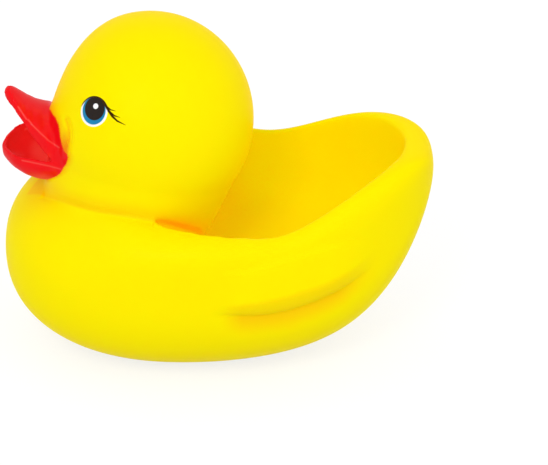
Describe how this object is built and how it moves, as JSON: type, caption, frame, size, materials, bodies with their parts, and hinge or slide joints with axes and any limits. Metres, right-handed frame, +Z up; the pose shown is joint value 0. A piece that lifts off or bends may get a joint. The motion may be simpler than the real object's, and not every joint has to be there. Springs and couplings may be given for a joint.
{
  "type": "rubber duck",
  "caption": "Hollow vinyl bath duck: a round head with an open bill stands at the front of a boat-shaped body whose back is scooped out as a tray with a raised tail",
  "frame": {"origin": "centre of the bounding box's base, on the flat underside", "axes": "+Z up, the bill towards -Y and the tail towards +Y, the duck's left side towards +X"},
  "size_m": [0.107, 0.159, 0.1282],
  "materials": {
    "vinyl": "smooth satin vinyl, yellow, with sprayed red bill and printed eyes"
  },
  "bodies": {
    "root": {"duck_body": "vinyl"}
  },
  "joints": []
}
